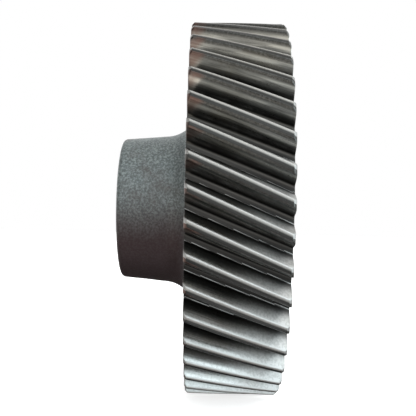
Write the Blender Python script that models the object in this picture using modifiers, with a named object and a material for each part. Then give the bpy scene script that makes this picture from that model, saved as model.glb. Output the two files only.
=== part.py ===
"""Helical gear with a forged hub, its key and its two set screws, in metres.

The gear's axis is Y, with the origin on it at the middle of the gear's length. The hub points to -Y and the
flat back of the rim to +Y. Angles around the axis start at +X and grow towards +Z.
"""

import math

import bmesh
import bpy
from mathutils import Matrix

MM = 0.001

# Teeth, from a basic rack measured across the tooth
TEETH = 42
MODULE = 2.5 * MM
HELIX = math.radians(23.0)
PRESSURE_ANGLE = math.radians(20.0)
ADDENDUM = 1.0 * MODULE
DEDENDUM = 1.25 * MODULE
ROOT_FILLET = 0.3 * MODULE
FILLET_CHORD = 0.3 * ROOT_FILLET
TIP_BREAK = 0.4 * MM
FACE_WIDTH = 28.6 * MM
FIRST_TOOTH_ANGLE = math.radians(64.3)
TOOTH_END_CHAMFER = 0.8 * MM

# Blank
TOTAL_LENGTH = 50.4 * MM
BORE_RADIUS = 12.5 * MM
BORE_CHAMFER = 1.0 * MM
HUB_END_RADIUS = 22.7 * MM
HUB_ROOT_RADIUS = 23.8 * MM
HUB_CORNER = 1.5 * MM
HUB_FILLET = 10.4 * MM
WEB_RECESS = 2.3 * MM
RIM_INNER_RADIUS = 46.0 * MM
RIM_FILLET = 1.5 * MM
BACK_BOSS_RADIUS = 24.0 * MM
BACK_BOSS_SLOPE = 0.7 * MM

# Key, as in the standard table for a 25 mm shaft
KEY_WIDTH = 8.0 * MM
KEY_HEIGHT = 7.0 * MM
KEY_LENGTH = 45.0 * MM
KEY_CORNER = 0.4 * MM
KEYWAY_DEPTH = 3.3 * MM
KEY_ANGLE = math.radians(180.0)

# Set screws, M6 with a 3 mm socket and a cup point
SCREW_RADIUS = 3.0 * MM
SCREW_LENGTH = 6.0 * MM
SCREW_CHAMFER = 0.6 * MM
POINT_CHAMFER = 0.9 * MM
SOCKET_WIDTH = 3.0 * MM
SOCKET_DEPTH = 3.2 * MM
CUP_RADIUS = 1.4 * MM
CUP_DEPTH = 0.8 * MM
SCREW_FROM_HUB_END = 9.0 * MM
SIDE_SCREW_ANGLE = math.radians(270.0)
SIDE_SCREW_INNER = BORE_RADIUS + 0.3 * MM
MOUTH_CHAMFER = 0.5 * MM

# Gaps between pieces that touch, and points this close to each other are one
KEY_GAP = 0.1 * MM
THREAD_GAP = 0.1 * MM
POINT_GAP = 0.1 * MM
MERGE_DISTANCE = 0.01 * MM

# Facets
BLANK_STEPS = 60
FLANK_STEPS = 3
HELIX_STEPS = 3
SCREW_STEPS = 24
EDGE_STEPS = 3
HUB_FILLET_STEPS = 5

# How far cutters reach past what they cut
CUTTER_SPARE = 2.0 * MM
TEETH_SPARE = 0.5 * MM

# Worked out from the above
TRANSVERSE_ANGLE = math.atan(math.tan(PRESSURE_ANGLE) / math.cos(HELIX))
PITCH_RADIUS = TEETH * MODULE / math.cos(HELIX) / 2
BASE_RADIUS = PITCH_RADIUS * math.cos(TRANSVERSE_ANGLE)
TIP_RADIUS = PITCH_RADIUS + ADDENDUM
ROOT_RADIUS = PITCH_RADIUS - DEDENDUM
TWIST = math.tan(HELIX) / PITCH_RADIUS
HUB_END = -TOTAL_LENGTH / 2
BACK = TOTAL_LENGTH / 2
RIM_FRONT = BACK - FACE_WIDTH
SCREW_Y = HUB_END + SCREW_FROM_HUB_END


def clear_scene():
    for item in list(bpy.data.objects):
        bpy.data.objects.remove(item)


def make_collection(name):
    collection = bpy.data.collections.new(name)
    bpy.context.scene.collection.children.link(collection)
    return collection


def make_material(name, colour, roughness, metallic):
    material = bpy.data.materials.new(name)
    material.use_nodes = True
    shader = material.node_tree.nodes["Principled BSDF"]
    shader.inputs["Base Color"].default_value = (*colour, 1.0)
    shader.inputs["Roughness"].default_value = roughness
    shader.inputs["Metallic"].default_value = metallic
    return material


def make_object(name, mesh, collection, material=None):
    item = bpy.data.objects.new(name, mesh)
    collection.objects.link(item)
    if material:
        mesh.materials.append(material)
    return item


def hide_as_cutter(item):
    item.hide_render = True
    item.display_type = "WIRE"


def add_boolean(item, cutter, operation):
    modifier = item.modifiers.new(cutter.name, "BOOLEAN")
    modifier.operation = operation
    modifier.solver = "EXACT"
    modifier.object = cutter


def arc(centre, radius, start, end, steps):
    """Points of an arc in the (radius, y) half-plane, its angles in degrees from outwards towards +Y."""
    points = []
    for i in range(steps + 1):
        angle = math.radians(start + (end - start) * i / steps)
        points.append((centre[0] + radius * math.cos(angle), centre[1] + radius * math.sin(angle)))
    return points


def turn(name, profile, steps, collection, material=None, closed=False):
    """Object turned around Y from a (radius, y) profile that runs from +Y to -Y on its outer side."""
    mesh = bpy.data.meshes.new(name)
    last = len(profile) if closed else len(profile) - 1
    edges = [(i, (i + 1) % len(profile)) for i in range(last)]
    mesh.from_pydata([(r, y, 0.0) for r, y in profile], edges, [])
    item = make_object(name, mesh, collection, material)
    screw = item.modifiers.new("Turn", "SCREW")
    screw.axis = "Y"
    screw.steps = steps
    screw.render_steps = steps
    screw.use_merge_vertices = True
    screw.merge_threshold = MERGE_DISTANCE
    return item


def blank_profile():
    """Closed section of the turned blank, whose rim is proud of the tooth tips except at its two chamfers."""
    proud = CUTTER_SPARE
    tip = TIP_RADIUS - TOOTH_END_CHAMFER
    web_front = RIM_FRONT + WEB_RECESS
    web_back = BACK - WEB_RECESS
    profile = [(BORE_RADIUS, BACK - BORE_CHAMFER), (BORE_RADIUS + BORE_CHAMFER, BACK)]
    profile += [(BACK_BOSS_RADIUS, BACK)]
    profile += [(BACK_BOSS_RADIUS + BACK_BOSS_SLOPE, web_back)]
    profile += arc((RIM_INNER_RADIUS - RIM_FILLET, web_back + RIM_FILLET), RIM_FILLET, -90, 0, EDGE_STEPS)
    profile += [(RIM_INNER_RADIUS, BACK), (tip, BACK), (TIP_RADIUS + proud, BACK - TOOTH_END_CHAMFER - proud)]
    profile += [(TIP_RADIUS + proud, RIM_FRONT + TOOTH_END_CHAMFER + proud), (tip, RIM_FRONT)]
    profile += [(RIM_INNER_RADIUS, RIM_FRONT)]
    profile += arc((RIM_INNER_RADIUS - RIM_FILLET, web_front - RIM_FILLET), RIM_FILLET, 0, 90, EDGE_STEPS)
    hub_fillet_middle = (HUB_ROOT_RADIUS + HUB_FILLET, web_front - HUB_FILLET)
    profile += arc(hub_fillet_middle, HUB_FILLET, 90, 180, HUB_FILLET_STEPS)
    profile += arc((HUB_END_RADIUS - HUB_CORNER, HUB_END + HUB_CORNER), HUB_CORNER, 0, -90, EDGE_STEPS)
    profile += [(BORE_RADIUS + BORE_CHAMFER, HUB_END), (BORE_RADIUS, HUB_END + BORE_CHAMFER)]
    return profile


def involute(angle):
    return math.tan(angle) - angle


def tooth_half_angle(radius):
    """Half the angle that a tooth takes up at a radius on its involute flanks."""
    at_pitch = math.pi / TEETH / 2
    return at_pitch + involute(TRANSVERSE_ANGLE) - involute(math.acos(BASE_RADIUS / radius))


def tooth_outline():
    """One tooth's outline from root to root, as (radius, angle) in the plane across the axis."""
    flank_start = ROOT_RADIUS + ROOT_FILLET
    flank_end = TIP_RADIUS - TIP_BREAK
    fillet_start = tooth_half_angle(flank_start)
    half = [(ROOT_RADIUS, fillet_start + ROOT_FILLET / ROOT_RADIUS)]
    half += [(ROOT_RADIUS + FILLET_CHORD, fillet_start + FILLET_CHORD / ROOT_RADIUS)]
    for i in range(FLANK_STEPS):
        radius = flank_start + (flank_end - flank_start) * i / (FLANK_STEPS - 1)
        half.append((radius, tooth_half_angle(radius)))
    half.append((TIP_RADIUS, tooth_half_angle(TIP_RADIUS) - TIP_BREAK / TIP_RADIUS))
    return [(r, -a) for r, a in half] + [(r, a) for r, a in reversed(half)]


def gear_outline():
    """The outline of all the teeth at the rim's front face, as (x, z) points that run from +X towards +Z."""
    points = []
    for k in range(TEETH):
        middle = FIRST_TOOTH_ANGLE + 2 * math.pi * k / TEETH
        for radius, angle in tooth_outline():
            points.append((radius * math.cos(middle + angle), radius * math.sin(middle + angle)))
    return points


def toothed_prism(name, collection):
    """The gear outline swept along the axis: straight over the hub and twisted along the rim."""
    start = RIM_FRONT - TEETH_SPARE
    end = BACK + TEETH_SPARE
    stations = [HUB_END - CUTTER_SPARE]
    stations += [start + (end - start) * i / HELIX_STEPS for i in range(HELIX_STEPS + 1)]
    bm = bmesh.new()
    outline = [bm.verts.new((x, stations[0], z)) for x, z in gear_outline()]
    face = bm.faces.new(outline)
    bmesh.ops.rotate(bm, verts=face.verts[:], matrix=Matrix.Rotation(TWIST * (start - RIM_FRONT), 3, "Y"))
    for before, after in zip(stations, stations[1:]):
        grown = bmesh.ops.extrude_face_region(bm, geom=[face])["geom"]
        if before > stations[0]:
            bmesh.ops.delete(bm, geom=[face], context="FACES_ONLY")
        face = next(item for item in grown if isinstance(item, bmesh.types.BMFace))
        turn_by = TWIST * (after - before) if before >= start else 0.0
        bmesh.ops.translate(bm, verts=face.verts[:], vec=(0.0, after - before, 0.0))
        bmesh.ops.rotate(bm, verts=face.verts[:], matrix=Matrix.Rotation(turn_by, 3, "Y"))
    bmesh.ops.recalc_face_normals(bm, faces=bm.faces[:])
    bmesh.ops.triangulate(bm, faces=bm.faces[:])
    mesh = bpy.data.meshes.new(name)
    bm.to_mesh(mesh)
    bm.free()
    return make_object(name, mesh, collection)


def box(name, low, high, collection, material=None):
    """Box between two corners."""
    bm = bmesh.new()
    bmesh.ops.create_cube(bm, size=1.0)
    size = [b - a for a, b in zip(low, high)]
    middle = [(a + b) / 2 for a, b in zip(low, high)]
    bmesh.ops.scale(bm, verts=bm.verts[:], vec=size)
    bmesh.ops.translate(bm, verts=bm.verts[:], vec=middle)
    mesh = bpy.data.meshes.new(name)
    bm.to_mesh(mesh)
    bm.free()
    return make_object(name, mesh, collection, material)


def turn_to(item, angle, y=0.0):
    """Turns an object that was made pointing to +X so that it points to an angle around the gear's axis."""
    item.rotation_euler = (0.0, -angle, 0.0)
    item.location = (0.0, y, 0.0)


def hub_radius(y):
    """Radius of the drafted hub at a place along the axis."""
    start = HUB_END + HUB_CORNER
    end = RIM_FRONT + WEB_RECESS - HUB_FILLET
    return HUB_END_RADIUS + (HUB_ROOT_RADIUS - HUB_END_RADIUS) * (y - start) / (end - start)


def rod_along_x(name, profile, steps, collection, material=None):
    """Object turned around X from a profile of (x, radius) points that runs from its outer end inwards."""
    mesh = bpy.data.meshes.new(name)
    edges = [(i, i + 1) for i in range(len(profile) - 1)]
    mesh.from_pydata([(x, r, 0.0) for x, r in profile], edges, [])
    item = make_object(name, mesh, collection, material)
    screw = item.modifiers.new("Turn", "SCREW")
    screw.axis = "X"
    screw.steps = steps
    screw.render_steps = steps
    screw.use_merge_vertices = True
    screw.merge_threshold = MERGE_DISTANCE
    return item


def make_gear(collection, cutters, material):
    gear = turn("gear_forging", blank_profile(), BLANK_STEPS, collection, material, closed=True)
    teeth = toothed_prism("teeth_outline", cutters)
    hide_as_cutter(teeth)
    add_boolean(gear, teeth, "INTERSECT")
    half = KEY_WIDTH / 2 + KEY_GAP
    low = (BORE_RADIUS - CUTTER_SPARE, -TOTAL_LENGTH, -half)
    high = (BORE_RADIUS + KEYWAY_DEPTH, TOTAL_LENGTH, half)
    keyway = box("keyway_cut", low, high, cutters)
    turn_to(keyway, KEY_ANGLE)
    hide_as_cutter(keyway)
    add_boolean(gear, keyway, "DIFFERENCE")
    surface = hub_radius(SCREW_Y)
    cutter_from, cutter_to = surface + CUTTER_SPARE, BORE_RADIUS - CUTTER_SPARE
    hole = SCREW_RADIUS + THREAD_GAP
    for name, angle in (("key_screw_hole", KEY_ANGLE), ("side_screw_hole", SIDE_SCREW_ANGLE)):
        profile = [(cutter_from, 0.0), (cutter_from, hole + MOUTH_CHAMFER + CUTTER_SPARE)]
        profile += [(surface - MOUTH_CHAMFER, hole), (cutter_to, hole), (cutter_to, 0.0)]
        cutter = rod_along_x(name, profile, SCREW_STEPS, cutters)
        turn_to(cutter, angle, SCREW_Y)
        hide_as_cutter(cutter)
        add_boolean(gear, cutter, "DIFFERENCE")
    return gear


def make_key(collection, material):
    """Parallel key with its long edges and ends broken, lying in the keyway and standing into the bore."""
    outer = BORE_RADIUS + KEYWAY_DEPTH - KEY_GAP
    low = (outer - KEY_HEIGHT, -KEY_LENGTH / 2, -KEY_WIDTH / 2)
    high = (outer, KEY_LENGTH / 2, KEY_WIDTH / 2)
    key = box("parallel_key", low, high, collection, material)
    bevel = key.modifiers.new("Broken edges", "BEVEL")
    bevel.width = KEY_CORNER
    bevel.segments = 1
    turn_to(key, KEY_ANGLE)
    return key


def make_set_screw(name, inner, angle, collection, cutters, material):
    """Socket set screw with its point at a distance from the gear's axis."""
    outer = inner + SCREW_LENGTH
    profile = [(outer, 0.0), (outer, SCREW_RADIUS - SCREW_CHAMFER), (outer - SCREW_CHAMFER, SCREW_RADIUS)]
    profile += [(inner + POINT_CHAMFER, SCREW_RADIUS), (inner, CUP_RADIUS), (inner + CUP_DEPTH, 0.0)]
    screw = rod_along_x(name, profile, SCREW_STEPS, collection, material)
    turn_to(screw, angle, SCREW_Y)
    bm = bmesh.new()
    corner = SOCKET_WIDTH / math.sqrt(3)
    depth = 2 * SOCKET_DEPTH
    bmesh.ops.create_cone(bm, cap_ends=True, segments=6, radius1=corner, radius2=corner, depth=depth)
    bmesh.ops.rotate(bm, verts=bm.verts[:], matrix=Matrix.Rotation(math.radians(90.0), 3, "Y"))
    bmesh.ops.translate(bm, verts=bm.verts[:], vec=(outer, 0.0, 0.0))
    mesh = bpy.data.meshes.new(name + "_socket")
    bm.to_mesh(mesh)
    bm.free()
    socket = make_object(name + "_socket", mesh, cutters)
    turn_to(socket, angle, SCREW_Y)
    hide_as_cutter(socket)
    add_boolean(screw, socket, "DIFFERENCE")
    return screw


def build():
    clear_scene()
    parts = make_collection("helical_gear")
    cutters = make_collection("cutters")
    gear_steel = make_material("gear_steel", (0.42, 0.43, 0.45), 0.35, 1.0)
    key_steel = make_material("key_steel", (0.45, 0.45, 0.44), 0.4, 1.0)
    screw_steel = make_material("black_oxide_steel", (0.05, 0.05, 0.055), 0.45, 1.0)
    make_gear(parts, cutters, gear_steel)
    make_key(parts, key_steel)
    key_top = BORE_RADIUS + KEYWAY_DEPTH - KEY_GAP + POINT_GAP
    make_set_screw("set_screw_over_key", key_top, KEY_ANGLE, parts, cutters, screw_steel)
    make_set_screw("set_screw_side", SIDE_SCREW_INNER, SIDE_SCREW_ANGLE, parts, cutters, screw_steel)


build()
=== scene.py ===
"""Looks of the helical gear: a finely toothed forging, its key and its threaded screws, on a pale floor."""

import math

import bmesh
import bpy
import numpy as np
from mathutils import Matrix, Vector, noise


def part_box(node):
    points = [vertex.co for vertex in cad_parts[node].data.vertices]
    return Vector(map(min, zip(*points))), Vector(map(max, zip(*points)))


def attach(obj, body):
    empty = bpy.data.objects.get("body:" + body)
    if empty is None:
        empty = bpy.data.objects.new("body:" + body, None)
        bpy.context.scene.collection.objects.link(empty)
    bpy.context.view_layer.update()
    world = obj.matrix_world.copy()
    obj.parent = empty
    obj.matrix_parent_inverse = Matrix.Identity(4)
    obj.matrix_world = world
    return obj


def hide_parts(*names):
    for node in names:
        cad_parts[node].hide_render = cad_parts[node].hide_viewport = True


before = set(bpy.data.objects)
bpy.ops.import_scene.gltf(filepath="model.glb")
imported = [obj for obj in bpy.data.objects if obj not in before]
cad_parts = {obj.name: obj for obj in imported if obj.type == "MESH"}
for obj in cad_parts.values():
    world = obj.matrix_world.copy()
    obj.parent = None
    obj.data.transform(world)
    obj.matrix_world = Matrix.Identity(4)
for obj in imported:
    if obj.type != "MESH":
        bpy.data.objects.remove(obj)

MM = 0.001
TAU = 2 * math.pi
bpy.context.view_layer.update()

# Teeth; the chamfer's run-out is its last places as (distance from the tooth's end, drop of the tip)
TEETH = 42
MODULE = 2.5 * MM
HELIX = math.radians(23.0)
PRESSURE_ANGLE = math.radians(20.0)
FIRST_TOOTH_ANGLE = math.radians(64.3)
FACE_WIDTH = 28.6 * MM
END_CHAMFER = 0.8 * MM
CHAMFER_RUN_OUT = ((0.45 * MM, 0.35 * MM), (0.72 * MM, 0.08 * MM), (0.80 * MM, 0.03 * MM), (0.92 * MM, 0.0))
END_EDGE = 0.2 * MM
TIP_EDGE = 0.5 * MM
WORN_TIP_EDGE = 0.95 * MM
ROOT_FILLET = 0.75 * MM
TRANSVERSE_ANGLE = math.atan(math.tan(PRESSURE_ANGLE) / math.cos(HELIX))
PITCH_RADIUS = TEETH * MODULE / math.cos(HELIX) / 2
BASE_RADIUS = PITCH_RADIUS * math.cos(TRANSVERSE_ANGLE)
TIP_RADIUS = PITCH_RADIUS + MODULE
ROOT_RADIUS = PITCH_RADIUS - 1.25 * MODULE
TWIST = math.tan(HELIX) / PITCH_RADIUS

# Blank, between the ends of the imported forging; the boss's taper is in degrees
GEAR_LOW, GEAR_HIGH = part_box("gear_forging")
HUB_END = GEAR_LOW[1]
BACK = GEAR_HIGH[1]
RIM_FRONT = BACK - FACE_WIDTH
BORE_RADIUS = 12.5 * MM
BORE_CHAMFER = 1.0 * MM
EDGE_SOFTENING = 0.05 * MM
FACE_SOFTENING = 0.08 * MM
BORE_SOFTENING = 0.1 * MM
HUB_END_RADIUS = 22.7 * MM
HUB_ROOT_RADIUS = 23.8 * MM
HUB_CORNER = 1.5 * MM
HUB_FILLET = 10.4 * MM
WEB_RECESS = 2.3 * MM
RIM_INNER_RADIUS = 46.0 * MM
RIM_FILLET = 1.5 * MM
RIM_EDGE = 0.25 * MM
BACK_BOSS_RADIUS = 24.0 * MM
BACK_BOSS_SLOPE = 0.7 * MM
BOSS_TAPER = 17

# Forged skin: how far it lies in, and how much its waves and its grains add to that
SKIN_DROP = 0.05 * MM
SKIN_WAVE = 0.05 * MM
SKIN_GRAIN = 0.03 * MM
SKIN_WAVES_PER_METRE = 110.0
SKIN_GRAINS_PER_METRE = 420.0
SKIN_GRAIN_OFFSET = Vector((3.1, 7.7, 1.9))

# Depths of the materials' bumps
LINE_DEPTH = 0.02 * MM
GRAIN_DEPTH = 0.14 * MM
PIT_DEPTH = 0.12 * MM

# Keyway and key
KEY_WIDTH = 8.0 * MM
KEYWAY_DEPTH = 3.3 * MM
KEYWAY_CORNER = 0.3 * MM
KEY_CORNER = 0.4 * MM
KEY_GAP = 0.1 * MM
KEY_ANGLE = math.radians(180.0)

# Set screws and their holes
SIDE_SCREW_ANGLE = math.radians(270.0)
SCREW_Y = HUB_END + 9.0 * MM
SCREW_RADIUS = 3.0 * MM
SCREW_LENGTH = 6.0 * MM
SCREW_END_DROP = 0.7 * MM
POINT_SLOPE = 0.7
CUP_RADIUS = 1.5 * MM
CUP_DEPTH = 0.8 * MM
SOCKET_WIDTH = 3.0 * MM
SOCKET_DEPTH = 3.2 * MM
THREAD_PITCH = 1.0 * MM
THREAD_DEPTH = 0.54 * MM
THREAD_GAP = 0.1 * MM
MOUTH_CHAMFER = 0.5 * MM

# Across one pitch the thread is a peak this steep, which is scaled up and cut flat to leave a crest
THREAD_STEEPNESS = 2.4
CREST_SCALE = 1.25

# How finely shapes are divided
RING_STEPS = TEETH * 8
ROOT_POINTS = 6
FLANK_POINTS = 10
TIP_POINTS = 7
RIM_STATIONS = 10
EDGE_STEPS = 3
RIM_FILLET_STEPS = 6
FRONT_WEB_STEPS = 14
BACK_WEB_STEPS = 18
HUB_FILLET_STEPS = 22
HUB_STEPS = 20
HUB_CORNER_STEPS = 7
BORE_STEPS = 8
HOLE_STEPS = 64
SCREW_STEPS = 32
ROWS_PER_PITCH = 6

# Cutters reach this far past what they cut
CUTTER_SPARE = 2.0 * MM
KEYWAY_CUTTER_LENGTH = 100.0 * MM

# The gear's material slots
TURNED, FORGED, TOOTHED = 0, 1, 2

# Camera, in tip radii from the middle of the rim's front face
CAMERA_DISTANCE = 4.17261
CAMERA_ALONG = 0.1105
CAMERA_HEIGHT = -0.07402
CAMERA_YAW = -0.00146
CAMERA_PITCH = 0.02355
CAMERA_ROLL = -0.0205
CAMERA_LENS_MM = 64.94
SENSOR_MM = 36.0
CAMERA_SHIFT_Y = 0.079
CAMERA_NEAR = 0.01
CAMERA_FAR = 50.0

# Studio: each bright area is a direction, how far it reaches along X, Y and Z, and a colour
STAGE_REACH = 60 * TIP_RADIUS
FLOOR_GAP = 0.2 * MM
FLOOR_GLOW = 0.75
SHELL_GLOW = 1.0
DIM_SURROUNDINGS = (0.06, 0.056, 0.052)
BRIGHT_AREAS = (
    ((0.68, 0.0, 0.73), (0.7, 0.9, 0.55), (1.38, 1.47, 1.49)),
    ((-0.1, 0.0, 1.0), (0.8, 0.9, 0.5), (0.96, 0.96, 0.93)),
    ((-0.9, 0.0, 0.4), (0.8, 1.0, 0.9), (1.5, 1.5, 1.5)),
    ((0.6, 0.78, 0.12), (0.9, 0.7, 1.0), (3.05, 3.5, 3.7)),
    ((0.25, 0.6, 0.76), (0.6, 0.5, 0.6), (2.5, 2.5, 2.5)),
    ((0.9, 0.0, 0.0), (0.6, 0.4, 1.0), (1.3, 1.3, 1.3)),
    ((0.3, 0.0, -0.9), (0.8, 0.3, 0.6), (1.5, 1.5, 1.52)),
    ((0.72, -0.66, -0.1), (0.7, 0.6, 0.75), (0.97, 0.95, 0.88)),
    ((0.45, -0.6, -0.66), (0.35, 0.3, 0.4), (1.7, 1.65, 1.5)),
    ((0.45, 0.55, -0.7), (0.45, 0.4, 0.45), (1.3, 1.32, 1.35)),
    ((-0.5, -0.85, 0.0), (0.9, 0.5, 0.9), (1.4, 1.4, 1.4)),
    ((-0.5, 0.85, 0.0), (0.9, 0.5, 0.9), (1.2, 1.2, 1.2)),
)


# ---------------------------------------------------------------- node helpers

class Nodes:
    """Short calls for building one material's or world's nodes."""

    def __init__(self, tree):
        self.tree = tree

    def add(self, kind, inputs=(), **settings):
        """A new node with its first inputs, each a value or another node's output."""
        node = self.tree.nodes.new(kind)
        for name, value in settings.items():
            setattr(node, name, value)
        for socket, value in zip(node.inputs, inputs):
            self.put(socket, value)
        return node

    def put(self, socket, value):
        if isinstance(value, bpy.types.NodeSocket):
            self.tree.links.new(value, socket)
        else:
            socket.default_value = value

    def math(self, operation, *values):
        return self.add("ShaderNodeMath", values, operation=operation).outputs[0]

    def plus(self, first, second):
        return self.math("ADD", first, second)

    def minus(self, first, second):
        return self.math("SUBTRACT", first, second)

    def times(self, first, *others):
        product = first
        for other in others:
            product = self.math("MULTIPLY", product, other)
        return product

    def step(self, value, low, high):
        """0 at low and before, 1 at high and after, with a smooth slope; low may be the larger of the two."""
        node = self.add("ShaderNodeMapRange", (value, low, high), interpolation_type="SMOOTHSTEP")
        return node.outputs["Result"]

    def range(self, value, low, high):
        """Low where the value is 0, and high where it is 1."""
        return self.add("ShaderNodeMapRange", (value, 0.0, 1.0, low, high)).outputs["Result"]

    def vector(self, x, y, z):
        return self.add("ShaderNodeCombineXYZ", (x, y, z)).outputs[0]

    def vector_math(self, operation, *values):
        return self.add("ShaderNodeVectorMath", values, operation=operation).outputs

    def noise(self, vector, scale=1.0, detail=3.0, roughness=0.55):
        node = self.add("ShaderNodeTexNoise")
        self.put(node.inputs["Vector"], vector)
        self.put(node.inputs["Scale"], scale)
        self.put(node.inputs["Detail"], detail)
        self.put(node.inputs["Roughness"], roughness)
        return node.outputs["Fac"]

    def mix(self, factor, first, second):
        """The first colour where the factor is 0, and the second where it is 1."""
        node = self.add("ShaderNodeMix", data_type="RGBA")
        self.put(node.inputs[0], factor)
        for socket, colour in zip(node.inputs[6:8], (first, second)):
            self.put(socket, colour if isinstance(colour, bpy.types.NodeSocket) else (*colour, 1.0))
        return node.outputs[2]

    def mix_numbers(self, factor, first, second):
        node = self.add("ShaderNodeMix", data_type="FLOAT")
        self.put(node.inputs[0], factor)
        self.put(node.inputs[2], first)
        self.put(node.inputs[3], second)
        return node.outputs[0]

    def bump(self, height, strength, distance, normal=None):
        node = self.add("ShaderNodeBump")
        self.put(node.inputs["Height"], height)
        self.put(node.inputs["Strength"], strength)
        self.put(node.inputs["Distance"], distance)
        if normal:
            self.put(node.inputs["Normal"], normal)
        return node.outputs[0]


class Surface(Nodes):
    """A material, with its shader and the object's own coordinates at hand."""

    def __init__(self, name, metallic):
        self.material = bpy.data.materials.new(name)
        self.material.use_nodes = True
        super().__init__(self.material.node_tree)
        self.shader = self.tree.nodes["Principled BSDF"]
        self.shader.inputs["Metallic"].default_value = metallic
        self.place = self.add("ShaderNodeTexCoord").outputs["Object"]
        self.x, self.y, self.z = self.add("ShaderNodeSeparateXYZ", (self.place,)).outputs

    def from_axis(self):
        """Distance from the gear's axis."""
        square = self.plus(self.times(self.x, self.x), self.times(self.z, self.z))
        return self.math("SQRT", square)

    def scaled(self, by_x, by_y, by_z):
        """The place, multiplied along each axis, so that a noise is drawn out where that is least."""
        return self.vector(self.times(self.x, by_x), self.times(self.y, by_y), self.times(self.z, by_z))

    def finish(self, colour, roughness, normal):
        self.put(self.shader.inputs["Base Color"], colour)
        self.put(self.shader.inputs["Roughness"], roughness)
        self.put(self.shader.inputs["Normal"], normal)
        return self.material


# ---------------------------------------------------------------- tooth material

# Heights on a tooth, as radii: where a smooth step starts and where it is full; painted highlight near the
# tip of the rising flanks, and painted shade under the tip, low in the gap and in the root. The reach of the
# streaks, partly wear and partly painted highlight, is measured from their own radius.
LAND = (TIP_RADIUS - 0.09 * MM, TIP_RADIUS - 0.01 * MM)
WORN_EDGE = (TIP_RADIUS - 0.6 * MM, TIP_RADIUS - 0.35 * MM)
NEAR_TIP_PAINTED_HIGHLIGHT = (PITCH_RADIUS + 0.8 * MM, PITCH_RADIUS + 2.0 * MM)
UNDER_TIP_PAINTED_SHADE = (PITCH_RADIUS + 1.2 * MM, PITCH_RADIUS + 1.9 * MM)
DEEP_PAINTED_SHADE = (PITCH_RADIUS + 1.6 * MM, PITCH_RADIUS - 0.6 * MM)
ROOT = (PITCH_RADIUS + 0.5 * MM, ROOT_RADIUS + 0.2 * MM)
WEAR_AND_HIGHLIGHT_RADIUS = PITCH_RADIUS + 0.6 * MM
WEAR_AND_HIGHLIGHT_REACH = (1.0 * MM, 0.2 * MM)

# Places along the teeth: where the painted highlight towards the back starts and is full, and the stain; the
# stain's edge slants, so that it reaches further back on the tips
BACK_PAINTED_HIGHLIGHT = (BACK - 19 * MM, BACK - 6 * MM)
STAIN_SLANT = 0.8
STAIN_FROM_TIP = RIM_FRONT - STAIN_SLANT * TIP_RADIUS
STAIN = (STAIN_FROM_TIP + 5.5 * MM, STAIN_FROM_TIP + 3.0 * MM)

# Places across the teeth, in tooth spacings from a tooth's middle: where the painted shade on one half of
# each land and the root's painted shade change, and where the painted highlight along a hob's ridges lies;
# these ridges jump at each feed mark
LAND_PAINTED_SHADE = (0.085, -0.005)
GAP_MIDDLE = (0.49, 0.42)
RIDGE_SIDE = 0.415
RIDGE_SLANT = -0.035
RIDGE_REACH = (0.013, 0.006)
FEEDS_PER_METRE = 150.0
FEED_PER_TOOTH = 0.37

# How many times each noise repeats in a metre, and how far it shifts from tooth to tooth
STREAKS_UP, STREAKS_ALONG, STREAK_SHIFT = 3600.0, 90.0, 7.31
STRETCHES_UP, STRETCHES_ALONG, STRETCH_SHIFT = 700.0, 60.0, 5.3
TURNING_ALONG, TURNING_AROUND = 2600.0, 100.0
PATCHES_PER_METRE = 90.0
TOOTH_GRAINS_PER_METRE = 1400.0


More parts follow.
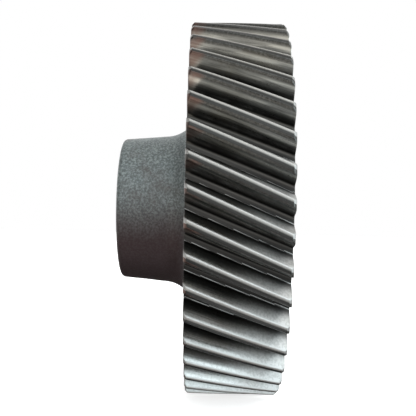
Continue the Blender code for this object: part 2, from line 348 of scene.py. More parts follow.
class ToothSurface(Surface):
    """A material that knows how high on its tooth a point is, which tooth that is, and which side of it."""

    def __init__(self, name):
        super().__init__(name, 1.0)
        self.radius = self.from_axis()
        angle = self.math("ARCTAN2", self.z, self.x)
        unrolled = self.plus(angle, self.times(self.y, TWIST))
        unrolled = self.minus(unrolled, FIRST_TOOTH_ANGLE + TWIST * RIM_FRONT)
        turns = self.plus(self.times(unrolled, TEETH / TAU), 0.5)
        self.tooth = self.math("FLOORED_MODULO", self.math("FLOOR", turns), TEETH)
        self.side = self.minus(self.math("FRACT", turns), 0.5)
        self.falling_side = self.math("LESS_THAN", self.side, 0.0)
        self.rising_side = self.minus(1.0, self.falling_side)
        self.on_land = self.step(self.radius, *LAND)
        self.streaks = self.noise(self.along_tooth(STREAKS_UP, STREAK_SHIFT, STREAKS_ALONG), detail=4.0)
        self.patches = self.noise(self.place, scale=PATCHES_PER_METRE, detail=4.0)
        self.fine = self.noise(self.place, scale=TOOTH_GRAINS_PER_METRE, detail=3.0)
        self.back_painted_highlight = self.times(self.step(self.y, *BACK_PAINTED_HIGHLIGHT), self.rising_side)
        self.worn_edge = self.times(self.step(self.radius, *WORN_EDGE), self.rising_side)

    def along_tooth(self, up, shift, along):
        """Place for a noise that is drawn out along the tooth and differs from tooth to tooth."""
        height = self.times(self.radius, up)
        return self.vector(height, self.times(self.tooth, shift), self.times(self.y, along))

    def cut_flank(self):
        """Fine cutting streaks, with browner patches."""
        flank = self.mix(self.step(self.streaks, 0.3, 0.75), (0.21, 0.208, 0.197), (0.42, 0.42, 0.405))
        return self.mix(self.step(self.patches, 0.5, 0.75), flank, (0.27, 0.255, 0.225))

    def falling_flank(self, flank):
        """Broken bright streaks, partly wear where the mate bears and partly painted highlight, and painted
        shade just under the tip.
        """
        # Bright streaks where the mate bears: partly real wear, partly painted highlight
        from_wear_and_highlight = self.math("ABSOLUTE", self.minus(self.radius, WEAR_AND_HIGHLIGHT_RADIUS))
        stretches = self.noise(self.along_tooth(STRETCHES_UP, STRETCH_SHIFT, STRETCHES_ALONG), detail=2.0)
        wear_and_highlight = self.times(self.step(from_wear_and_highlight, *WEAR_AND_HIGHLIGHT_REACH), self.step(stretches, 0.4, 0.62))
        wear_and_highlight = self.times(wear_and_highlight, self.step(self.streaks, 0.15, 0.45), self.falling_side)
        flank = self.mix(wear_and_highlight, flank, (0.78, 0.77, 0.72))
        # Painted shade just under the tip of the falling flanks
        painted_shade_under_tip = self.times(self.step(self.radius, *UNDER_TIP_PAINTED_SHADE), 0.8, self.falling_side)
        return self.mix(painted_shade_under_tip, flank, (0.065, 0.064, 0.061))

    def rising_flank(self, flank):
        """Painted highlight near the tip and towards the back, painted shade low in the gap, with fine
        speckles.
        """
        # Painted highlight on the rising flanks near the tip
        painted_highlight_near_tip = self.times(self.step(self.radius, *NEAR_TIP_PAINTED_HIGHLIGHT), self.rising_side, 0.5)
        flank = self.mix(painted_highlight_near_tip, flank, (0.62, 0.62, 0.61))
        # Painted shade low in the gap on the rising flanks
        painted_shade_deep = self.times(self.step(self.radius, *DEEP_PAINTED_SHADE), self.rising_side, 0.6)
        flank = self.mix(painted_shade_deep, flank, (0.10, 0.10, 0.097))
        # Painted highlight towards the back end of the rising flanks, where the roughness is raised too
        flank = self.mix(self.times(self.back_painted_highlight, 0.75), flank, (0.64, 0.635, 0.62))
        flank = self.mix(self.times(self.step(self.fine, 0.42, 0.68), 0.14), flank, (0.5, 0.5, 0.49))
        speckles = self.times(self.step(self.fine, 0.56, 0.40), self.rising_side, 0.34)
        return self.mix(speckles, flank, (0.22, 0.212, 0.20))

    def oil_stain(self, flank):
        """Reddish oily stain on the falling flanks by the hub."""
        by_hub = self.step(self.plus(self.y, self.times(self.radius, -STAIN_SLANT)), *STAIN)
        stain = self.times(by_hub, self.falling_side, self.step(self.patches, 0.3, 0.5), 0.75)
        return self.mix(stain, flank, (0.235, 0.145, 0.122))

    def painted_root_shade(self, flank):
        """Painted shade at the bottom of the gap, less dark on the falling side."""
        from_gap_middle = self.step(self.math("ABSOLUTE", self.side), *GAP_MIDDLE)
        lit = self.times(from_gap_middle, self.falling_side)
        root = self.mix(lit, (0.05, 0.0485, 0.046), (0.098, 0.095, 0.089))
        return self.mix(self.step(self.radius, *ROOT), flank, root)

    def hob_ridge_highlights(self, flank):
        """Painted highlight on thin ridges along the gap, in slightly slanting dashes."""
        feeds = self.plus(self.times(self.y, FEEDS_PER_METRE), self.times(self.tooth, FEED_PER_TOOTH))
        ridge_side = self.plus(self.times(self.math("FRACT", feeds), RIDGE_SLANT), RIDGE_SIDE)
        off_ridge = self.math("ABSOLUTE", self.minus(self.side, ridge_side))
        ridge_highlight = self.times(self.step(off_ridge, *RIDGE_REACH), self.step(self.streaks, 0.4, 0.5))
        return self.mix(ridge_highlight, flank, (0.5, 0.5, 0.49))


def tooth_steel():
    """Hobbed flanks, streaked, with painted highlights and painted shade on them and in the gaps, and
    brighter lands with turning lines, one half of each land in painted shade.
    """
    steel = ToothSurface("tooth_steel")
    flank = steel.rising_flank(steel.falling_flank(steel.cut_flank()))
    flank = steel.hob_ridge_highlights(steel.painted_root_shade(steel.oil_stain(flank)))
    flank = steel.mix(steel.worn_edge, flank, (0.56, 0.555, 0.54))

    turning = steel.noise(steel.scaled(TURNING_AROUND, TURNING_ALONG, TURNING_AROUND), detail=2.0)
    land = steel.mix(turning, (0.435, 0.42, 0.40), (0.67, 0.65, 0.62))
    # Painted shade: one half of each land is darkened to stand in for shade
    land = steel.mix(steel.step(steel.side, *LAND_PAINTED_SHADE), land, (0.06, 0.06, 0.058))

    lines = steel.mix_numbers(steel.on_land, steel.streaks, turning)
    roughness = steel.plus(steel.range(lines, 0.17, 0.36), steel.times(steel.fine, 0.08))
    worn = steel.math("MAXIMUM", steel.back_painted_highlight, steel.worn_edge)
    roughness = steel.plus(roughness, steel.times(worn, 0.26))
    return steel.finish(steel.mix(steel.on_land, flank, land), roughness, steel.bump(lines, 0.4, LINE_DEPTH))


# ---------------------------------------------------------------- other materials

# How many times each noise repeats in a metre; the wide rings' is a share of the fine rings'
RINGS_OUTWARDS, RINGS_ALONG, RINGS_AROUND = 3600.0, 3100.0, 40.0
WIDE_RING_SHARE = 0.3
TURNED_PATCHES = 80.0
FORGED_GRAINS, FORGED_PITS, FORGED_MOTTLES = 1500.0, 1100.0, 70.0
SCRATCHES_ACROSS, SCRATCHES_ALONG = 3000.0, 60.0
OXIDE_GRAINS, OXIDE_WEAR = 1500.0, 420.0
PAPER_FIBRES = 300.0

# Where the forged skin counts as the hub's, as radii, and where the painted shade on its underside starts and
# is full, as heights
HUB_SKIN = (HUB_ROOT_RADIUS + 9 * MM, HUB_ROOT_RADIUS + 1 * MM)
UNDERSIDE_PAINTED_SHADE = (14 * MM, -7 * MM)
UNDERSIDE_SHADE_UNEVENNESS = 10 * MM


def turned_steel():
    """Turned faces and bore: rings around the axis, fine and wide, with browner patches."""
    steel = Surface("turned_steel", 1.0)
    across = steel.plus(steel.times(steel.from_axis(), RINGS_OUTWARDS), steel.times(steel.y, RINGS_ALONG))
    sideways = steel.times(steel.x, RINGS_AROUND)
    upwards = steel.times(steel.z, RINGS_AROUND)
    fine_rings = steel.noise(steel.vector(across, sideways, upwards), detail=3.0)
    widened = steel.times(across, WIDE_RING_SHARE)
    wide_rings = steel.noise(steel.vector(widened, upwards, sideways), detail=2.0)
    rings = steel.times(steel.plus(fine_rings, wide_rings), 0.5)
    patches = steel.noise(steel.place, scale=TURNED_PATCHES, detail=4.0)
    colour = steel.mix(steel.step(rings, 0.35, 0.65), (0.20, 0.202, 0.205), (0.38, 0.38, 0.38))
    colour = steel.mix(steel.step(patches, 0.52, 0.78), colour, (0.20, 0.185, 0.165))
    return steel.finish(colour, steel.range(rings, 0.28, 0.5), steel.bump(rings, 0.4, LINE_DEPTH))


def forged_steel():
    """Shot-blasted forging skin: fine-grained and mottled, bluer on the hub, with painted shade darkening the
    hub's lower half.
    """
    skin = Surface("forged_steel", 0.75)
    grain = skin.noise(skin.place, scale=FORGED_GRAINS, detail=3.0, roughness=0.65)
    pits = skin.noise(skin.place, scale=FORGED_PITS, detail=2.0)
    mottle = skin.noise(skin.place, scale=FORGED_MOTTLES, detail=4.0)

    on_hub = skin.step(skin.from_axis(), *HUB_SKIN)
    on_hub = skin.times(on_hub, skin.math("LESS_THAN", skin.y, 0.0))
    dark_grain = skin.mix(on_hub, (0.20, 0.206, 0.206), (0.183, 0.209, 0.213))
    light_grain = skin.mix(on_hub, (0.445, 0.460, 0.460), (0.424, 0.480, 0.486))
    colour = skin.mix(skin.step(grain, 0.38, 0.68), dark_grain, light_grain)
    colour = skin.mix(skin.step(mottle, 0.5, 0.8), colour, (0.16, 0.14, 0.135))

    # Painted shade: the hub darkens unevenly towards its underside
    uneven_height = skin.plus(skin.z, skin.times(mottle, UNDERSIDE_SHADE_UNEVENNESS))
    underside_painted_shade = skin.times(skin.step(uneven_height, *UNDERSIDE_PAINTED_SHADE), on_hub, 0.92)
    colour = skin.mix(underside_painted_shade, colour, (0.066, 0.037, 0.040))

    normal = skin.bump(grain, 0.8, GRAIN_DEPTH)
    normal = skin.bump(pits, 0.6, PIT_DEPTH, normal)
    return skin.finish(colour, skin.range(grain, 0.42, 0.62), normal)


def key_steel():
    """Bright drawn bar: fine scratches along the key."""
    steel = Surface("key_steel", 1.0)
    scratches = steel.noise(steel.scaled(SCRATCHES_ACROSS, SCRATCHES_ALONG, SCRATCHES_ACROSS), detail=4.0)
    colour = steel.mix(scratches, (0.36, 0.36, 0.35), (0.58, 0.57, 0.55))
    return steel.finish(colour, steel.range(scratches, 0.25, 0.42), steel.bump(scratches, 0.3, LINE_DEPTH))


def black_oxide():
    """Blackened screw steel, with slightly worn high spots."""
    steel = Surface("black_oxide", 0.9)
    grain = steel.noise(steel.place, scale=OXIDE_GRAINS, detail=3.0)
    wear = steel.noise(steel.place, scale=OXIDE_WEAR, detail=4.0)
    colour = steel.mix(grain, (0.03, 0.03, 0.032), (0.065, 0.065, 0.07))
    colour = steel.mix(steel.step(wear, 0.6, 0.75), colour, (0.16, 0.155, 0.15))
    return steel.finish(colour, steel.range(grain, 0.3, 0.5), steel.bump(grain, 0.25, LINE_DEPTH))


# ---------------------------------------------------------------- gear shape

def half_angle(radius):
    """Half the angle that a tooth takes up at a radius on its involute flanks."""
    pressure = np.arccos(BASE_RADIUS / radius)
    start = math.tan(TRANSVERSE_ANGLE) - TRANSVERSE_ANGLE
    return math.pi / TEETH / 2 + start - (np.tan(pressure) - pressure)


def polar(centre_radius, centre_angle, reach, direction):
    """Polar places of points around a centre, with directions measured from outwards towards more angle."""
    x = centre_radius + reach * np.cos(direction)
    y = reach * np.sin(direction)
    return np.hypot(x, y), centre_angle + np.arctan2(y, x)


def half_tooth(tip, inset, tip_edge):
    """Half a tooth's outline, as radii and angles from the gap's middle up to the tooth's middle.

    The root, fillet, flank and tip are all moved into the metal by the inset, and the tip's edge is rounded.
    """
    fillet_radius = ROOT_RADIUS + ROOT_FILLET
    fillet_pressure = math.acos(BASE_RADIUS / fillet_radius)
    fillet_angle = half_angle(fillet_radius) + ROOT_FILLET / BASE_RADIUS
    fillet = ROOT_FILLET + inset
    gap_middle = math.pi / TEETH
    root_radii = np.full(2, fillet_radius - fillet)
    root_angles = np.array([gap_middle, (gap_middle + fillet_angle) / 2])
    turn = math.pi + np.linspace(0.0, math.pi / 2 - fillet_pressure, ROOT_POINTS)
    fillet_radii, fillet_angles = polar(fillet_radius, fillet_angle, fillet, turn)

    edge_radius = tip - tip_edge
    edge_pressure = math.acos(BASE_RADIUS / edge_radius)
    edge_angle = half_angle(edge_radius) - (tip_edge + inset) / BASE_RADIUS
    turn = np.linspace(math.pi / 2 - edge_pressure, 0.0, TIP_POINTS)
    edge_radii, edge_angles = polar(edge_radius, edge_angle, tip_edge, turn)

    flank_from = math.sqrt(fillet_radius ** 2 - BASE_RADIUS ** 2) - ROOT_FILLET - inset
    flank_to = math.sqrt(edge_radius ** 2 - BASE_RADIUS ** 2) + tip_edge
    flank_radii = np.hypot(np.linspace(flank_from, flank_to, FLANK_POINTS)[1:-1], BASE_RADIUS)
    flank_angles = half_angle(flank_radii) - inset / BASE_RADIUS

    radii = (root_radii, fillet_radii, flank_radii, edge_radii, [tip, tip])
    angles = (root_angles, fillet_angles, flank_angles, edge_angles, [edge_angles[-1] / 2, 0.0])
    return np.concatenate(radii), np.concatenate(angles)


def on_circle(radii, angles, y):
    """Points around the axis at a place along it."""
    return np.stack([radii * np.cos(angles), np.full_like(angles, y), radii * np.sin(angles)], axis=1)


def outline(y, tip, inset):
    """All the teeth's outline at a place along the axis, as points that run around it."""
    worn_radii, worn_angles = half_tooth(tip, inset, WORN_TIP_EDGE)
    radii, angles = half_tooth(tip, inset, TIP_EDGE)
    radii = np.concatenate([worn_radii, radii[-2:0:-1]])
    angles = np.concatenate([-worn_angles, angles[-2:0:-1]])
    turn = FIRST_TOOTH_ANGLE - TWIST * (y - RIM_FRONT) + np.arange(TEETH)[:, None] * TAU / TEETH
    return on_circle(np.tile(radii, TEETH), (angles[None, :] + turn).ravel(), y)


def ring(radius, y, turn):
    return on_circle(radius, turn + np.arange(RING_STEPS) * TAU / RING_STEPS, y)


def tooth_stations():
    """Places near a tooth's end, over its edge and tip chamfer, as (distance from it, tip radius, inset)."""
    rows = []
    for degrees in (90, 60, 30, 0):
        turn = math.radians(degrees)
        off = END_EDGE * (1 - math.sin(turn))
        inset = END_EDGE * (1 - math.cos(turn))
        rows.append((off, TIP_RADIUS - (END_CHAMFER - off) - inset, inset))
    for off, drop in CHAMFER_RUN_OUT:
        rows.append((off, TIP_RADIUS - drop, 0.0))
    return rows


def arc(centre, radius, start, end, steps):
    """Points of an arc in the (radius, y) half-plane, its angles in degrees from outwards towards +Y."""
    turn = np.radians(np.linspace(start, end, steps + 1))
    return [(centre[0] + radius * math.cos(a), centre[1] + radius * math.sin(a)) for a in turn]


def between(start, end, steps):
    """Points from start to end, without either of them."""
    return [(start[0] + (end[0] - start[0]) * i / steps, start[1] + (end[1] - start[1]) * i / steps)
            for i in range(1, steps)]


def bore_mouth(end, inwards):
    """The bore's chamfer from an end face into the bore, its edges softened; inwards is 1 or -1 along Y."""
    face_radius = BORE_RADIUS + BORE_CHAMFER
    return [(face_radius + FACE_SOFTENING, end),
            (face_radius - EDGE_SOFTENING, end + inwards * EDGE_SOFTENING),
            (BORE_RADIUS + EDGE_SOFTENING, end + inwards * (BORE_CHAMFER - EDGE_SOFTENING)),
            (BORE_RADIUS, end + inwards * (BORE_CHAMFER + BORE_SOFTENING))]


def turned_profile():
    """The blank's section, from the front face over the hub and through the bore to the back face.

    Returns (radius, y, surface) points, where surface is the material slot of the band up to the next point.
    """
    front_web = RIM_FRONT + WEB_RECESS
    back_web = BACK - WEB_RECESS
    near_roots = ROOT_RADIUS - 1.2 * MM
    near_web = RIM_INNER_RADIUS + 2 * MM
    rim_edge = RIM_INNER_RADIUS + RIM_EDGE
    web_outside = RIM_INNER_RADIUS - RIM_FILLET
    web_inside = HUB_ROOT_RADIUS + HUB_FILLET
    hub_foot = (HUB_ROOT_RADIUS, front_web - HUB_FILLET)
    hub_top = (HUB_END_RADIUS, HUB_END + HUB_CORNER)
    hub_corner = (HUB_END_RADIUS - HUB_CORNER, HUB_END + HUB_CORNER)
    bore_from = (BORE_RADIUS, HUB_END + BORE_CHAMFER)
    bore_to = (BORE_RADIUS, BACK - BORE_CHAMFER)
    hub_face_middle = 17.5 * MM
    boss_face_middle = 18.5 * MM
    boss_foot = BACK_BOSS_RADIUS + BACK_BOSS_SLOPE + RIM_FILLET
    bands = []

    def band(surface, points):
        bands.extend((radius, y, surface) for radius, y in points)

    band(TURNED, [(near_roots, RIM_FRONT), (near_web, RIM_FRONT)])
    band(TURNED, arc((rim_edge, RIM_FRONT + RIM_EDGE), RIM_EDGE, 270, 180, EDGE_STEPS))
    band(FORGED, arc((web_outside, front_web - RIM_FILLET), RIM_FILLET, 0, 90, RIM_FILLET_STEPS))
    band(FORGED, between((web_outside, front_web), (web_inside, front_web), FRONT_WEB_STEPS))
    band(FORGED, arc((web_inside, front_web - HUB_FILLET), HUB_FILLET, 90, 180, HUB_FILLET_STEPS))
    band(FORGED, between(hub_foot, hub_top, HUB_STEPS))
    band(FORGED, arc(hub_corner, HUB_CORNER, 0, -90, HUB_CORNER_STEPS)[:-1])
    band(TURNED, [(hub_corner[0], HUB_END), (hub_face_middle, HUB_END)])
    band(TURNED, bore_mouth(HUB_END, 1))
    band(TURNED, between(bore_from, bore_to, BORE_STEPS))
    band(TURNED, bore_mouth(BACK, -1)[::-1])
    band(TURNED, [(boss_face_middle, BACK)])
    band(TURNED, arc((BACK_BOSS_RADIUS - RIM_EDGE, BACK - RIM_EDGE), RIM_EDGE, 90, BOSS_TAPER, EDGE_STEPS))
    band(FORGED, arc((boss_foot, back_web + RIM_FILLET), RIM_FILLET, 180 + BOSS_TAPER, 270, RIM_FILLET_STEPS))
    band(FORGED, between((boss_foot, back_web), (web_outside, back_web), BACK_WEB_STEPS))
    band(FORGED, arc((web_outside, back_web + RIM_FILLET), RIM_FILLET, 270, 360, RIM_FILLET_STEPS))
    band(TURNED, arc((rim_edge, BACK - RIM_EDGE), RIM_EDGE, 180, 90, EDGE_STEPS))
    band(TURNED, [(near_web, BACK), (near_roots, BACK)])
    return bands


def ring_turn(radius, y):
    """Angle of a ring's first point: each end's rings meet its tooth gaps, and the bore's turn gradually."""
    front = FIRST_TOOTH_ANGLE - math.pi / TEETH
    back = front - TWIST * FACE_WIDTH
    if radius <= BORE_RADIUS + 2 * MM:
        share = min(max((y - HUB_END) / (BACK - HUB_END), 0.0), 1.0)
    else:
        share = 1.0 if y > (RIM_FRONT + BACK) / 2 else 0.0
    return front + (back - front) * share


def rim_places():
    """Every station along the teeth, from the front end to the back, as (y, tip radius, inset)."""
    ends = tooth_stations()
    inner = ends[-1][0]
    places = [(RIM_FRONT + off, tip, inset) for off, tip, inset in ends]
    places += [(y, TIP_RADIUS, 0.0) for y in np.linspace(RIM_FRONT + inner, BACK - inner, RIM_STATIONS)[1:-1]]
    places += [(BACK - off, tip, inset) for off, tip, inset in reversed(ends)]
    return places


def build_gear(materials):
    """The whole forging as one closed mesh: toothed rim, end faces, and the turned and forged surfaces."""
    points, faces, slots = [], [], []

    def add_points(block):
        start = sum(len(b) for b in points)
        points.append(block)
        return start, len(block)

    def join(first, second, slot):
        (a, n), (b, _) = first, second
        for i in range(n):
            j = (i + 1) % n
            faces.append((a + i, a + j, b + j, b + i))
            slots.append(slot)

    rims = [add_points(outline(*place)) for place in rim_places()]
    for before, after in zip(rims, rims[1:]):
        join(before, after, TOOTHED)

    profile = turned_profile()
    rings = [add_points(ring(radius, y, ring_turn(radius, y))) for radius, y, _ in profile]
    for before, after, (_, _, slot) in zip(rings, rings[1:], profile):
        join(before, after, slot)

    per_tooth = rims[0][1] // TEETH
    per_ring = RING_STEPS // TEETH
    for rim, inner in ((rims[0], rings[0]), (rims[-1], rings[-1])):
        for k in range(TEETH):
            outer = [rim[0] + (k * per_tooth + i) % rim[1] for i in range(per_tooth + 1)]
            lower = [inner[0] + (k * per_ring + i) % inner[1] for i in range(per_ring + 1)]
            faces.append(outer + lower[::-1])
            slots.append(TURNED)

    mesh = bpy.data.meshes.new("gear")
    mesh.from_pydata(np.concatenate(points).tolist(), [], faces)
    mesh.polygons.foreach_set("material_index", np.array(slots, dtype=np.int32))
    for material in materials:
        mesh.materials.append(material)
    bm = bmesh.new()
    bm.from_mesh(mesh)
    bmesh.ops.recalc_face_normals(bm, faces=bm.faces[:])
    bm.to_mesh(mesh)
    bm.free()
    return mesh


def roughen_forging(mesh):
    """Moves the forged skin in by about a tenth of a millimetre at most, unevenly, as a real forging's is."""
    forged, machined = set(), set()
    for face in mesh.polygons:
        (forged if face.material_index == FORGED else machined).update(face.vertices)
    count = 3 * len(mesh.vertices)
    places, normals = np.empty(count, np.float32), np.empty(count, np.float32)
    mesh.vertices.foreach_get("co", places)
    mesh.vertices.foreach_get("normal", normals)
    places, normals = places.reshape(-1, 3), normals.reshape(-1, 3)
    for i in sorted(forged - machined):
        place = Vector(places[i])
        wave = noise.noise(place * SKIN_WAVES_PER_METRE)
        grain = noise.noise(place * SKIN_GRAINS_PER_METRE + SKIN_GRAIN_OFFSET)
        places[i] -= normals[i] * (SKIN_DROP + SKIN_WAVE * wave + SKIN_GRAIN * grain)
    mesh.vertices.foreach_set("co", places.ravel())
    mesh.update()


# ---------------------------------------------------------------- object helpers

def link(name, mesh):
    item = bpy.data.objects.new(name, mesh)
    bpy.context.scene.collection.objects.link(item)
    return item


def from_bmesh(name, bm, material):
    mesh = bpy.data.meshes.new(name)
    bm.to_mesh(mesh)
    bm.free()
    mesh.materials.append(material)
    return link(name, mesh)


def cut(item, cutter):
    """Cuts the cutter's shape out of an object's mesh and removes the cutter."""
    modifier = item.modifiers.new("Cut", "BOOLEAN")
    modifier.operation = "DIFFERENCE"
    modifier.solver = "MANIFOLD"
    modifier.object = cutter
    graph = bpy.context.evaluated_depsgraph_get()
    mesh = bpy.data.meshes.new_from_object(item.evaluated_get(graph), depsgraph=graph)
    item.modifiers.clear()
    item.data = mesh
    bpy.data.objects.remove(cutter)


def smooth(item, sharp_degrees=32.0):
    """Smooth shading that keeps hard edges hard and large faces flat."""
    item.data.shade_smooth()
    item.data.set_sharp_from_angle(angle=math.radians(sharp_degrees))
    weighted = item.modifiers.new("Flat faces", "WEIGHTED_NORMAL")
    weighted.keep_sharp = True
    weighted.weight = 80


def box_mesh(low, high):
    """A box between two corners."""
    bm = bmesh.new()
    bmesh.ops.create_cube(bm, size=1.0)
    bmesh.ops.scale(bm, verts=bm.verts[:], vec=high - low)
    bmesh.ops.translate(bm, verts=bm.verts[:], vec=(low + high) / 2)
    return bm


def around_x(x, radius, turns):
    return x, radius * math.cos(TAU * turns), radius * math.sin(TAU * turns)


def revolve_x(profile, steps):
    """Closed bmesh turned around X from (x, radius) points whose first and last lie on the axis."""
    bm = bmesh.new()
    rows = []
    for x, radius in profile:
        turns = range(steps) if radius else range(1)
        rows.append([bm.verts.new(around_x(x, radius, k / steps)) for k in turns])
    for before, after in zip(rows, rows[1:]):
        for k in range(steps):
            n = (k + 1) % steps
            corners = [before[k % len(before)], before[n % len(before)]]
            corners += [after[n % len(after)], after[k % len(after)]]
            bm.faces.new(list(dict.fromkeys(corners)))
    bmesh.ops.recalc_face_normals(bm, faces=bm.faces[:])
    return bm


def turn_to(bm, angle):
    """Turns a shape that points to +X so that it points to an angle around the gear's axis."""
    bmesh.ops.rotate(bm, verts=bm.verts[:], matrix=Matrix.Rotation(-angle, 3, "Y"))


def point_at(bm, angle):
    """Turns a shape that points to +X to an angle around the gear's axis, at the screws' place along it."""
    turn_to(bm, angle)
    bmesh.ops.translate(bm, verts=bm.verts[:], vec=(0.0, SCREW_Y, 0.0))


# ---------------------------------------------------------------- pieces

def keyway_cutter(material):
    """Box for the keyway, with the two long corners at its bottom rounded."""
    outer = BORE_RADIUS + KEYWAY_DEPTH
    inner = BORE_RADIUS - CUTTER_SPARE
    reach = Vector((0.0, KEYWAY_CUTTER_LENGTH / 2, KEY_WIDTH / 2 + KEY_GAP))
    bm = box_mesh(Vector((inner, 0.0, 0.0)) - reach, Vector((outer, 0.0, 0.0)) + reach)
    long_edges = [e for e in bm.edges if abs(e.verts[0].co.y - e.verts[1].co.y) > KEYWAY_CUTTER_LENGTH / 2]
    corners = [e for e in long_edges if e.verts[0].co.x > BORE_RADIUS]
    bmesh.ops.bevel(bm, geom=corners, offset=KEYWAY_CORNER, segments=3, profile=0.5, affect="EDGES")
    turn_to(bm, KEY_ANGLE)
    return from_bmesh("keyway_cutter", bm, material)


def hub_radius(y):
    """Radius of the tapered hub between its corner and its fillet."""
    start = HUB_END + HUB_CORNER
    end = RIM_FRONT + WEB_RECESS - HUB_FILLET
    return HUB_END_RADIUS + (HUB_ROOT_RADIUS - HUB_END_RADIUS) * (y - start) / (end - start)


def hole_cutter(angle, material):
    """Drill for a screw's hole, with a countersink at the hub's surface."""
    hole = SCREW_RADIUS + THREAD_GAP
    surface = hub_radius(SCREW_Y)
    top = surface + CUTTER_SPARE
    bottom = BORE_RADIUS - CUTTER_SPARE
    mouth = (top, hole + MOUTH_CHAMFER + CUTTER_SPARE)
    profile = [(top, 0.0), mouth, (surface - MOUTH_CHAMFER, hole), (bottom, hole), (bottom, 0.0)]
    bm = revolve_x(profile, HOLE_STEPS)
    point_at(bm, angle)
    return from_bmesh("hole_cutter", bm, material)


def make_gear():
    turned = turned_steel()
    mesh = build_gear([turned, forged_steel(), tooth_steel()])
    roughen_forging(mesh)
    gear = link("helical_gear_forging", mesh)
    cut(gear, keyway_cutter(turned))
    for angle in (KEY_ANGLE, SIDE_SCREW_ANGLE):
        cut(gear, hole_cutter(angle, turned))
    smooth(gear)
    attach(gear, "root")
    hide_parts("gear_forging")


def make_key():
    low, high = (Vector(corner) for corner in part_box("parallel_key"))
    bm = box_mesh(low, high)
    bmesh.ops.bevel(bm, geom=bm.edges[:], offset=KEY_CORNER, segments=4, profile=0.5, affect="EDGES")
    key = from_bmesh("drawn_parallel_key", bm, key_steel())
    smooth(key)
    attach(key, "root")
    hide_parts("parallel_key")


def thread_radius(phase):
    """Radius of the thread at a share of its pitch: a crest in the middle and a root at both ends."""
    height = 1.0 - min(abs(phase - 0.5) * THREAD_STEEPNESS, 1.0)
    return SCREW_RADIUS - THREAD_DEPTH * (1.0 - min(height * CREST_SCALE, 1.0))


def screw_body(inner):
    """Threaded rod along X from the cup point at inner, tapered at both ends."""
    rows = round(SCREW_LENGTH / THREAD_PITCH * ROWS_PER_PITCH)
    bm = bmesh.new()
    grid = []
    for i in range(rows + 1):
        from_outer = SCREW_LENGTH * i / rows
        x = inner + SCREW_LENGTH - from_outer
        end_radius = SCREW_RADIUS - SCREW_END_DROP + min(from_outer, (x - inner) * POINT_SLOPE)
        line = []
        for k in range(SCREW_STEPS):
            phase = (i / ROWS_PER_PITCH + k / SCREW_STEPS) % 1.0
            radius = min(thread_radius(phase), end_radius)
            line.append(bm.verts.new(around_x(x, radius, k / SCREW_STEPS)))
        grid.append(line)
    grid.append([bm.verts.new(around_x(inner, CUP_RADIUS, k / SCREW_STEPS)) for k in range(SCREW_STEPS)])
    cup = bm.verts.new((inner + CUP_DEPTH, 0.0, 0.0))
    bm.faces.new(grid[0])
    for k in range(SCREW_STEPS):
        n = (k + 1) % SCREW_STEPS
        for before, after in zip(grid, grid[1:]):
            bm.faces.new((before[k], before[n], after[n], after[k]))
        bm.faces.new((grid[-1][k], grid[-1][n], cup))
    bmesh.ops.recalc_face_normals(bm, faces=bm.faces[:])
    return bm


def socket_cutter(outer, angle, material):
    """Hexagon for a screw's socket, whose middle is at the screw's outer end."""
    corner = SOCKET_WIDTH / 2 / math.cos(math.pi / 6)
    bm = bmesh.new()
    bmesh.ops.create_cone(bm, cap_ends=True, segments=6, radius1=corner, radius2=corner,
                          depth=2 * SOCKET_DEPTH)
    bmesh.ops.rotate(bm, verts=bm.verts[:], matrix=Matrix.Rotation(math.radians(90.0), 3, "Y"))
    bmesh.ops.translate(bm, verts=bm.verts[:], vec=(outer, 0.0, 0.0))
    point_at(bm, angle)
    return from_bmesh("socket_cutter", bm, material)


def threaded_screw(name, node, angle, material):
    """Set screw with a real helical thread, a hexagon socket and a cup point."""
    pointing = Vector((math.cos(angle), 0.0, math.sin(angle)))
    inner = min(Vector(corner).dot(pointing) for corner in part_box(node))
    bm = screw_body(inner)
    point_at(bm, angle)
    screw = from_bmesh(name, bm, material)
    cut(screw, socket_cutter(inner + SCREW_LENGTH, angle, material))
    smooth(screw, sharp_degrees=40.0)
    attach(screw, "root")
    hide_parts(node)


# ---------------------------------------------------------------- studio

def make_camera():
    data = bpy.data.cameras.new("camera")
    data.lens = CAMERA_LENS_MM
    data.sensor_width = SENSOR_MM
    data.shift_y = CAMERA_SHIFT_Y
    data.clip_start = CAMERA_NEAR
    data.clip_end = CAMERA_FAR
    camera = link("camera", data)
    facing_gear = Matrix(((0, 0, 1), (1, 0, 0), (0, 1, 0)))
    yaw = Matrix.Rotation(-CAMERA_YAW, 3, "Y")
    pitch = Matrix.Rotation(-CAMERA_PITCH, 3, "X")
    roll = Matrix.Rotation(-CAMERA_ROLL, 3, "Z")
    off_rim = Vector((CAMERA_DISTANCE, CAMERA_ALONG, CAMERA_HEIGHT)) * TIP_RADIUS
    place = Vector((0.0, RIM_FRONT, 0.0)) + off_rim
    camera.matrix_world = Matrix.Translation(place) @ (facing_gear @ yaw @ pitch @ roll).to_4x4()
    bpy.context.scene.camera = camera


def make_stage_piece(name, bm, surface, glow):
    """Stage piece that glows evenly and that only the camera sees, so that it doesn't light the steel."""
    shader = surface.shader
    shader.inputs["Specular IOR Level"].default_value = 0.0
    shader.inputs["Emission Color"].default_value = (1.0, 1.0, 1.0, 1.0)
    shader.inputs["Emission Strength"].default_value = glow
    item = from_bmesh(name, bm, surface.material)
    item.visible_glossy = False
    item.visible_diffuse = False
    item.visible_transmission = False
    item.visible_shadow = False
    return item


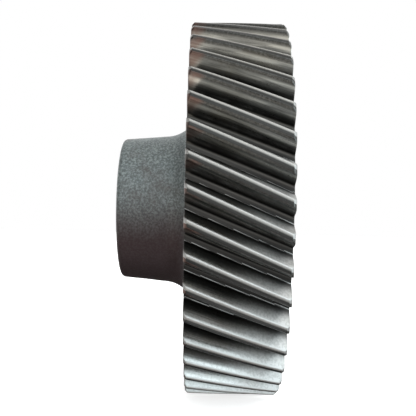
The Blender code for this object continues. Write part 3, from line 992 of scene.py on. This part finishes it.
def make_floor():
    """White paper floor just under the gear."""
    paper = Surface("floor_paper", 0.0)
    fibres = paper.noise(paper.place, scale=PAPER_FIBRES, detail=3.0)
    paper.put(paper.shader.inputs["Base Color"], paper.mix(fibres, (0.86, 0.86, 0.86), (0.90, 0.90, 0.90)))
    paper.shader.inputs["Roughness"].default_value = 0.7
    bm = bmesh.new()
    bmesh.ops.create_grid(bm, x_segments=1, y_segments=1, size=STAGE_REACH)
    floor = make_stage_piece("floor", bm, paper, FLOOR_GLOW)
    floor.location = (0.0, 0.0, GEAR_LOW[2] - FLOOR_GAP)


def make_shell():
    """White shell far away, behind everything."""
    white = Surface("white_shell", 0.0)
    white.shader.inputs["Base Color"].default_value = (0.0, 0.0, 0.0, 1.0)
    bm = bmesh.new()
    bmesh.ops.create_uvsphere(bm, u_segments=48, v_segments=24, radius=STAGE_REACH)
    make_stage_piece("white_shell", bm, white, SHELL_GLOW)


def make_surroundings():
    """What the steel reflects: dim all round, with soft bright areas added towards a few directions."""
    world = bpy.data.worlds.new("studio")
    bpy.context.scene.world = world
    world.use_nodes = True
    nodes = Nodes(world.node_tree)
    direction = nodes.add("ShaderNodeTexCoord").outputs["Generated"]
    light = DIM_SURROUNDINGS
    for towards, reach, colour in BRIGHT_AREAS:
        off = nodes.vector_math("SUBTRACT", direction, towards)[0]
        off = nodes.vector_math("DIVIDE", off, reach)[0]
        off = nodes.vector_math("LENGTH", off)["Value"]
        area = nodes.mix(nodes.step(off, 1.0, 0.0), (0.0, 0.0, 0.0), colour)
        light = nodes.vector_math("ADD", light, area)[0]
    nodes.put(nodes.tree.nodes["Background"].inputs["Color"], light)


def main():
    make_camera()
    make_floor()
    make_shell()
    make_surroundings()
    make_gear()
    make_key()
    oxide = black_oxide()
    threaded_screw("threaded_screw_over_key", "set_screw_over_key", KEY_ANGLE, oxide)
    threaded_screw("threaded_screw_side", "set_screw_side", SIDE_SCREW_ANGLE, oxide)


main()
bpy.context.scene.view_settings.view_transform = "Standard"
